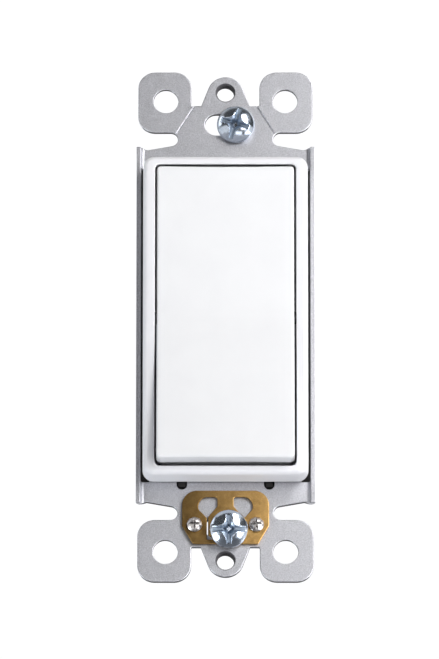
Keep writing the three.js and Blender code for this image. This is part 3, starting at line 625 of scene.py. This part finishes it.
# ------------------------------------------------------------------ rocker paddle
def rocker():
    hx, hz, r = 13.5, 30.6, 0.8
    e = 0.42
    prof = [(1.4, 1.8), (1.4, 9.7), (1.25, 10.0), (0.5, 10.0), (0.32, 9.85), (0.32, 3.25), (0.22, 3.1), (0.06, 3.06), (0.0, 3.0), (0.0, e)]
    for i in range(1, 7):
        a = rad(15 * i)
        prof.append((e * (1 - math.cos(a)), e * (1 - math.sin(a))))
    rings = []
    for o, t in prof:
        rings.append([(p.x, t, p.y) for p in rr(hx - o, hz - o, max(0.38, r - o), 8)])
    bm = bmesh.new()
    loft(bm, rings, cap0=True, cap1=True)
    for z in (0, 0.35, 0.75, 1.2, 1.8, 2.6, 3.8, 6, 12, 18, 24, 28):
        for s in ((1, -1) if z else (1,)):
            cut_plane(bm, (0, 0, s * z), (0, 0, 1))
    for x in (0, 3, 6, 9, 11.5):
        for s in ((1, -1) if x else (1,)):
            cut_plane(bm, (s * x, 0, 0), (1, 0, 0))
    slope = math.tan(rad(HALF_TILT))
    for v in bm.verts:
        x, t, z = v.co
        soft = math.sqrt(z * z + 0.5 * 0.5) - 0.5
        face = -2.6 - soft * slope
        back = 3.0 - 1.2 * abs(z) / hz
        if t > 9:
            v.co.y = back - (10 - t)
        else:
            v.co.y = face + t
        if abs(z) > 29:  # the two ends are very slightly hollow
            k = 0.12 * (1 - (x / hx) ** 2)
            v.co.z = z - math.copysign(k, z)
    # behind the face: post, trunnions, stiffening ribs
    tube(bm, 0, 0, 1.85, 3.0, -1.2, 12.5, 40)
    rod(bm, (-15.2, 0, 0), (15.2, 0, 0), 1.2, 32)
    slab(bm, -12.5, 12.5, -1.4, 2.4, -0.6, 0.6, 0.12)
    for z in (-20, -10, 10, 20):
        slab(bm, -12.5, 12.5, -1.4 - abs(z) * 0.0507, 0.4, z - 0.5, z + 0.5, 0.12)
    return bm


M_ROCKER = T(0, PIVOT_Y, 0) @ R(-HALF_TILT, "X")
emit(rocker(), "rocker_paddle", "white_plastic_gloss", "rocker", M_ROCKER, sharp=50)


# ------------------------------------------------------------------ grounding clip
def clip():
    outer = wound(rounded([(-8.5, -34.3, 2.9), (-8.5, -41.5, 0.6), (-6.4, -45.2, 0.5), (6.4, -45.2, 0.5), (8.5, -41.5, 0.6), (8.5, -34.3, 2.9)]))
    half = [(1.6, -35.6, 0.55), (5.3, -35.6, 1.9), (5.3, -38.1, 0.9), (3.65, -39.9, 0.25), (3.65, -44.3, 0.22)]
    inner = [(2.62, -43.5, 0.1), (3.42, -43.5, 0.1), (3.42, -39.72, 0.12), (1.6, -37.5, 0.3)]
    right = [(c[0], c[1], c[2]) for c in half]
    left = [(-c[0], c[1], c[2]) for c in half][::-1]
    hole = right + left + [(-c[0], c[1], c[2]) for c in inner][::-1] + [(-2.62, -39.95, 1.8), (2.62, -39.95, 1.8)] + inner
    loops = [outer, wound(rounded(hole), False)]
    bm = bmesh.new()
    sheet(bm, loops, -1.7, -1.2, 0.15, 0.05)
    for z in (-39.9, -40.3, -40.8, -41.5, -42.5, -43.2):
        cut_plane(bm, (0, 0, z), (0, 0, 1))
    for v in bm.verts:  # the two fingers reach back into the strap's slot
        if abs(v.co.x) < 3.5 and -43.7 < v.co.z < -39.9:
            u = -39.9 - v.co.z
            v.co.y += 0.34 * u * u / (u + 0.35)
    return bm


emit(clip(), "ground_clip", "brass_clip", "switch_body", sharp=38, flat=True)


# ------------------------------------------------------------------ screws and rivets
def recess(x, z):
    """(how far inside the star, how far inside the cross), in mm, of the combination recess."""
    ax, az = abs(x), abs(z)
    c, rho = 2.05, 1.50
    star = math.hypot(ax - c, az - c) - rho if ax < c and az < c else -1.0
    star = min(star, 2.55 - ax, 2.35 - az)
    cross = max(min(0.47 - az, 3.3 - ax), min(0.48 - ax, 2.8 - az))
    return star, cross


def mounting_screw(base, head_r, length, n=240):
    bm = bmesh.new()
    h = 2.2
    top = base - h
    drop_max = h - 0.45
    rs = (head_r ** 2 + drop_max ** 2) / (2 * drop_max)

    def dome(r):
        return rs - math.sqrt(max(rs * rs - r * r, 0.01))

    def head(r):
        def f(c, s, t):
            x, z = r * c, r * s
            d = dome(r)
            star, cross = recess(x, z)
            if r < 3.4:  # edges of the recess are eased
                d += 0.55 * max(0.0, min(0.14, star + 0.14)) + 0.45 * max(0.0, min(0.09, cross + 0.09))
            if cross > 0:
                d = max(d, min(1.25, dome(r) + 5.0 * cross))
            if star > 0:
                d = max(d, min(2.1, dome(r) + 1.2 * star + 1.5 * max(0.0, star - 0.5)))
            return r, top + d
        return f
    rings = [head(0.05 + (head_r - 0.12 - 0.05) * i / 88) for i in range(89)]
    flat = lambda r, y: (lambda c, s, t: (r, y))
    rings += [flat(head_r - 0.04, base - 0.42), flat(head_r, base - 0.32), flat(head_r, base - 0.16), flat(head_r - 0.06, base - 0.04), flat(head_r - 0.16, base), flat(2.1, base), flat(1.78, base + 0.05), flat(1.62, base + 0.25)]
    pitch, r0, r1 = 0.794, 1.34, 1.72
    per = 7
    y, end = base + 0.45, base + length
    while y < end - 1.2:
        rings.append((lambda yy: (lambda c, s, t: (r0 + (r1 - r0) * min(1.0, max(0.0, 1.35 * (1 - abs(2 * ((yy / pitch - t) % 1.0) - 1)) - 0.1)), yy)))(y))
        y += pitch / per
    rings += [flat(1.38, end - 1.0), flat(1.25, end - 0.4), flat(1.0, end - 0.06), flat(0.7, end)]
    polar(bm, rings, n, top + 2.1, end)
    inside = bm.verts.layers.float.new("inside")
    for v in bm.verts:
        r = math.hypot(v.co.x, v.co.z)
        if r < head_r - 0.15 and v.co.y < base:
            v[inside] = 1.0 if 0.06 < v.co.y - top - dome(r) and v.co.y < top + 2.06 else 0.0
    return bm


M_TOP = T(2.1, -STRAP_T, 41.45) @ R(6, "X") @ R(-5, "Z") @ R(-72.6, "Y")
M_BOTTOM = T(0.66, -1.45, -42.05) @ R(18, "X")
emit(mounting_screw(-0.9, 3.72, 19), "mounting_screw_top", "blue_zinc", "top_screw", M_TOP, sharp=72)
emit(mounting_screw(-1.85, 3.74, 19), "mounting_screw_bottom", "blue_zinc", "bottom_screw", M_BOTTOM, sharp=72)


def rivet(turn):
    bm = bmesh.new()

    def head(r):
        def f(c, s, t):
            a = t * 2 * math.pi + rad(turn)
            x, z = abs(r * math.cos(a)), abs(r * math.sin(a))
            d = 0.72 * (r / 1.5) ** 2.6
            g = max(min(0.23 - x, 1.25 - z), min(0.23 - z, 1.25 - x))
            if g > 0:
                d = max(d, min(0.31, d + 3.4 * g))
            elif g > -0.14 and r < 1.3:
                d -= 0.035 * (1 + g / 0.14)
            return r, -2.75 + d
        return f
    rings = [head(0.04 + 1.42 * i / 44) for i in range(45)]
    flat = lambda r, y: (lambda c, s, t: (r, y))
    rings += [flat(1.5, -2.02), flat(1.5, -1.86), flat(1.46, -1.74), flat(0.85, -1.72), flat(0.85, 0.35), flat(1.38, 0.38), flat(1.42, 0.5), flat(1.2, 0.78), flat(0.6, 0.85)]
    polar(bm, rings, 168, -2.44, 0.85)
    return bm


emit(rivet(3), "clip_rivet_left", "nickel_plate", "switch_body", T(-6.05, 0, -41.3), sharp=72)
emit(rivet(-6), "clip_rivet_right", "nickel_plate", "switch_body", T(6.05, 0, -41.3), sharp=72)


def thread_rings(y0, y1, r0, r1, pitch=0.794, per=6):
    out, y = [], y0
    while y < y1:
        out.append((lambda yy: (lambda c, s, t: (r0 + (r1 - r0) * min(1.0, max(0.0, 1.35 * (1 - abs(2 * ((yy / pitch - t) % 1.0) - 1)) - 0.1)), yy)))(y))
        y += pitch / per
    return out


def binding_screw(n=216):
    """Side wiring screw, its head towards -Y of its own frame."""
    bm = bmesh.new()

    def head(r):
        def f(c, s, t):
            x, z = abs(r * c), abs(r * s)
            y = -3.0 + 0.62 * (r / 3.7) ** 2.4
            g = 0.42 - x
            q = min(0.42 - z, 1.95 - x)
            if g > 0:
                y = max(y, min(-1.98, y + 6 * g))
            if q > 0:
                y = max(y, min(-1.9, y + 6 * q))
            return r, y
        return f
    rings = [head(0.05 + 3.55 * i / 64) for i in range(65)]
    flat = lambda r, y: (lambda c, s, t: (r, y))
    rings += [flat(3.72, -2.28), flat(3.8, -2.05), flat(3.8, -1.4), flat(3.7, -1.25), flat(2.1, -1.25), flat(1.9, -1.1)]
    rings += thread_rings(-0.95, 4.2, 1.62, 2.0) + [flat(1.6, 4.4), flat(1.35, 5.0), flat(0.6, 5.0)]
    polar(bm, rings, n, -1.9, 5.0)
    return bm


def washer(hx, hz, r, hole, y0, y1):
    bm = bmesh.new()
    outer = wound(rounded([(-hx, -hz, r), (hx, -hz, r), (hx, hz, r), (-hx, hz, r)])) if r < hx else wound(circle(0, 0, hx, 96))
    return sheet(bm, [outer, wound(circle(0, 0, hole, 64), False)], y0, y1, 0.12, 0.06)


for side, sz in (("load", 1), ("line", -1)):
    M = T(14.4, 14.5, sz * 13) @ R(90, "Z")
    emit(binding_screw(), "terminal_screw_" + side, "brass_screw", side + "_screw", M @ R(24 * sz + 11, "Y"), sharp=70)
    emit(washer(4.1, 4.1, 0.6, 2.3, -0.95, -0.3), "clamp_washer_" + side, "nickel_plate", side + "_washer", M, sharp=40, flat=True)

for end, x, z in (("top", 2.24, 41.62), ("bottom", 0.66, -41.35)):
    emit(washer(3.3, 3.3, 3.3, 2.2, 0.35, 1.05), "screw_retainer_" + end, "fibre", end + "_retainer", T(x, 0, z), sharp=40, flat=True)


def ground_screw(n=144):
    bm = bmesh.new()
    ap = 3.7 * math.cos(rad(30))

    def hexr(t, lim):
        a = (t * 360.0 + 30.0) % 60.0 - 30.0
        return min(lim, ap / math.cos(rad(a)) - 0.0)

    def head(r):
        def f(c, s, t):
            x = abs(r * c)
            y = -3.0 + 0.10 * (r / 3.0) ** 2
            g = 0.42 - x
            if g > 0:
                y = max(y, min(-2.1, y + 6 * g))
            return r, y
        return f
    rings = [head(0.05 + 2.85 * i / 30) for i in range(31)]
    for r, y in ((3.1, -2.86), (3.4, -2.7), (3.62, -2.5)):
        rings.append((lambda rr_, yy: (lambda c, s, t: (hexr(t, rr_), yy)))(r, y))
    for r, y in ((3.68, -2.3), (3.68, -1.35), (3.6, -1.22)):
        rings.append((lambda rr_, yy: (lambda c, s, t: (hexr(t, rr_), yy)))(r, y))
    flat = lambda r, y: (lambda c, s, t: (r, y))
    rings += [flat(2.1, -1.2), flat(1.85, -1.05)] + thread_rings(-0.9, 5.8, 1.52, 1.9) + [flat(1.5, 6.0), flat(1.25, 6.6), flat(0.6, 6.6)]
    polar(bm, rings, n, -2.1, 6.6)
    return bm


M_GROUND = T(-3.6, 10, -30.6) @ R(90, "X")
emit(ground_screw(), "ground_screw", "green_screw", "ground_screw_body", M_GROUND @ R(17, "Y"), sharp=44)
emit(washer(3.4, 3.4, 3.4, 2.25, -0.9, -0.3), "ground_washer", "brass_plate", "ground_washer_body", M_GROUND, sharp=40, flat=True)


def assembly_screw(n=72):
    """Long screw from the back: its pan head faces +Y."""
    bm = bmesh.new()

    def head(r):
        def f(c, s, t):
            x, z = abs(r * c), abs(r * s)
            y = 22.6 - 0.9 * (r / 2.3) ** 2.2
            g = max(min(0.30 - x, 1.45 - z), min(0.30 - z, 1.45 - x))
            if g > 0:
                y = min(y, max(21.4, y - 5 * g))
            return r, y
        return f
    rings = [head(0.04 + 2.2 * i / 24) for i in range(25)]
    flat = lambda r, y: (lambda c, s, t: (r, y))
    rings += [flat(2.36, 21.45), flat(2.4, 21.2), flat(2.36, 20.76), flat(2.25, 20.7), flat(1.3, 20.7), flat(1.12, 20.5), flat(1.12, 9.0)]
    y = 8.8
    while y > 2.4:
        rings.append((lambda yy: (lambda c, s, t: (0.95 + 0.22 * (1 - abs(2 * ((yy / 1.05 - t) % 1.0) - 1)), yy)))(y))
        y -= 0.2
    rings += [flat(0.95, 2.2), flat(0.65, 1.35)]
    polar(bm, rings, n, 21.4, 1.3)
    return bm


for name, sx, sz, turn in (("top_right", 1, 1, 20), ("top_left", -1, 1, 64), ("bottom_right", 1, -1, 41), ("bottom_left", -1, -1, 8)):
    emit(assembly_screw(), "assembly_screw_" + name, "steel_screw", "switch_body", T(sx * 9.8, 0, sz * 24.5) @ R(turn, "Y"), sharp=48)


def spring():
    """Compression spring in the paddle's post."""
    bm = bmesh.new()
    y0, y1, turns, r, wire, per, seg = 1.35, 6.3, 5, 1.4, 0.16, 36, 12
    rings = []
    for i in range(turns * per + 1):
        u = i / (turns * per)
        a = u * turns * 2 * math.pi
        c = Vector((r * math.cos(a), y0 + (y1 - y0) * u, r * math.sin(a)))
        tan = Vector((-r * math.sin(a) * turns * 2 * math.pi, y1 - y0, r * math.cos(a) * turns * 2 * math.pi)).normalized()
        out = Vector((math.cos(a), 0, math.sin(a)))
        up = tan.cross(out)
        rings.append([c + (out * math.cos(2 * math.pi * k / seg) + up * math.sin(2 * math.pi * k / seg)) * wire for k in range(seg)])
    loft(bm, rings, cap0=True, cap1=True)
    return bm


emit(spring(), "contact_spring", "spring_steel", "rocker", M_ROCKER, sharp=60)

# ------------------------------------------------------------------ pieces shown from the CAD, with eased edges
for node, slot, width in (
    ("rear_housing", "black_plastic", 0.28), ("actuator_plunger", "acetal", 0.12), ("contact_arm", "copper_alloy", 0.12),
    ("moving_contact", "silver_contact", 0.08), ("fixed_contact", "silver_contact", 0.08), ("load_terminal", "brass_plate", 0.12),
    ("line_terminal", "brass_plate", 0.12), ("push_in_clip_load", "spring_steel", 0.06), ("push_in_clip_line", "spring_steel", 0.06),
):
    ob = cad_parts[node]
    ob.data.materials.clear()
    ob.data.materials.append(MAT[slot])
    if node == "rear_housing":  # large flat faces stay even; its edges are eased in the material
        ob.data.shade_flat()
        continue
    d = ob.modifiers.new("planar", "DECIMATE")
    d.decimate_type = "DISSOLVE"
    d.angle_limit = rad(2)
    b = ob.modifiers.new("edges", "BEVEL")
    b.width = width * MM
    b.segments = 3
    b.limit_method = "ANGLE"
    b.angle_limit = rad(34)
    b.harden_normals = False
    w = ob.modifiers.new("normals", "WEIGHTED_NORMAL")
    w.keep_sharp = True
    w.weight = 60
    ob.data.shade_smooth()

# ------------------------------------------------------------------ stage: pale floor well below, world, lights
floor_mat, nt, bs = new_mat("floor")
v = coords(nt)
ps = nt.nodes.new("ShaderNodeSeparateXYZ")
nt.links.new(v, ps.inputs[0])
fx = calc(nt, "DIVIDE", ps.outputs["X"], 0.9)
fy = calc(nt, "DIVIDE", calc(nt, "ADD", ps.outputs["Y"], 1.3), 2.2)
away = calc(nt, "SQRT", calc(nt, "ADD", calc(nt, "MULTIPLY", fx, fx), calc(nt, "MULTIPLY", fy, fy)))
tone = ramp(nt, noise(nt, v, 6.0, 3, 0.5), [(0.3, (0.80, 0.80, 0.80)), (0.7, (0.84, 0.84, 0.84))])
put(nt, bs, "Base Color", mix(nt, remap(nt, away, 0.9, 1.6, 0.0, 1.0), (0.30, 0.30, 0.31, 1.0), tone))
put(nt, bs, "Roughness", 0.75)
bs.inputs["Emission Color"].default_value = (1.0, 1.0, 1.0, 1.0)
glow = remap(nt, away, 0.9, 1.6, 0.0, 0.52)
glow.node.name = "glow"
nt.links.new(glow, bs.inputs["Emission Strength"])
bm = bmesh.new()
bmesh.ops.create_grid(bm, x_segments=1, y_segments=1, size=400.0)
me = bpy.data.meshes.new("floor")
bm.to_mesh(me)
bm.free()
floor = bpy.data.objects.new("floor", me)
floor.location = (0, 0, -0.85)
me.materials.append(floor_mat)
bpy.context.scene.collection.objects.link(floor)

WORLD_LOW, WORLD_HIGH = 0.040, 0.080
world = bpy.data.worlds.new("studio")
bpy.context.scene.world = world
world.use_nodes = True
wt = world.node_tree
wt.nodes.clear()
wo = wt.nodes.new("ShaderNodeOutputWorld")
bg = wt.nodes.new("ShaderNodeBackground")
tc = wt.nodes.new("ShaderNodeTexCoord")
sx = wt.nodes.new("ShaderNodeSeparateXYZ")
wt.links.new(tc.outputs["Generated"], sx.inputs[0])
height = remap(wt, sx.outputs["Z"], -0.30, 0.30, WORLD_LOW, WORLD_HIGH)
height.node.name = "height"
front = remap(wt, sx.outputs["Y"], -0.10, 0.45, height, 1.04)
front.node.name = "depth"
wt.links.new(bg.outputs[0], wo.inputs[0])
bg.inputs["Color"].default_value = (0.985, 0.99, 1.0, 1.0)
below = remap(wt, sx.outputs["Z"], -0.012, -0.004, 1.0, 0.0)
level = calc(wt, "ADD", calc(wt, "MULTIPLY", front, calc(wt, "SUBTRACT", 1.0, below)), calc(wt, "MULTIPLY", below, 0.9))
wt.links.new(level, bg.inputs["Strength"])


def area_light(name, loc, size, power, target=(0, 0, 0), color=(1, 1, 1)):
    l = bpy.data.lights.new(name, "AREA")
    l.shape = "RECTANGLE"
    l.size, l.size_y = size
    l.energy = power
    l.color = color
    o = bpy.data.objects.new(name, l)
    o.location = loc
    o.visible_camera = False
    o.rotation_euler = (Vector(target) - Vector(loc)).to_track_quat("-Z", "Y").to_euler()
    bpy.context.scene.collection.objects.link(o)
    return o


area_light("key_right", (0.37, -0.29, 0.36), (0.34, 0.38), 0.120)
area_light("near_right", (0.18, -0.23, 0.12), (0.12, 0.34), 0.830)
area_light("front_right", (0.20, -0.36, 0.02), (0.14, 0.30), 0.480)
area_light("side_left", (-0.42, -0.03, 0.21), (0.16, 0.28), 0.220, color=(0.93, 0.96, 1.0))
area_light("low", (0.06, -0.36, -0.30), (0.30, 0.14), 0.217, color=(0.97, 0.98, 1.0))
area_light("low_left", (-0.33, -0.05, -0.27), (0.16, 0.16), 0.760, color=(0.86, 0.93, 1.0))
area_light("low_right", (0.30, -0.14, -0.22), (0.14, 0.20), 0.550, color=(0.95, 0.97, 1.0))
area_light("glint", (0.0007, -0.5716, -0.235), (0.06, 0.06), 0.030, target=(0.0007, -0.0036, -0.042))

# ------------------------------------------------------------------ camera, from about 18 degrees below the front
th = rad(18.2)
D = 2.2
cam_data = bpy.data.cameras.new("camera")
cam_data.sensor_fit = "AUTO"
cam_data.sensor_width = 36.0
cam_data.lens = 611.4
cam_data.shift_x = -6.0 / 659.0
cam_data.shift_y = -4.4 / 659.0
cam_data.clip_start, cam_data.clip_end = 0.05, 60.0
cam = bpy.data.objects.new("camera", cam_data)
m = Matrix(((1, 0, 0, 0), (0, -math.sin(th), -math.cos(th), -0.0009 - D * math.cos(th)), (0, math.cos(th), -math.sin(th), -D * math.sin(th)), (0, 0, 0, 1)))
cam.matrix_world = m
bpy.context.scene.collection.objects.link(cam)
bpy.context.scene.camera = cam

sc = bpy.context.scene
sc.view_settings.view_transform = "Standard"
sc.view_settings.look = "None"
sc.view_settings.exposure = 0.0
sc.view_settings.gamma = 1.0
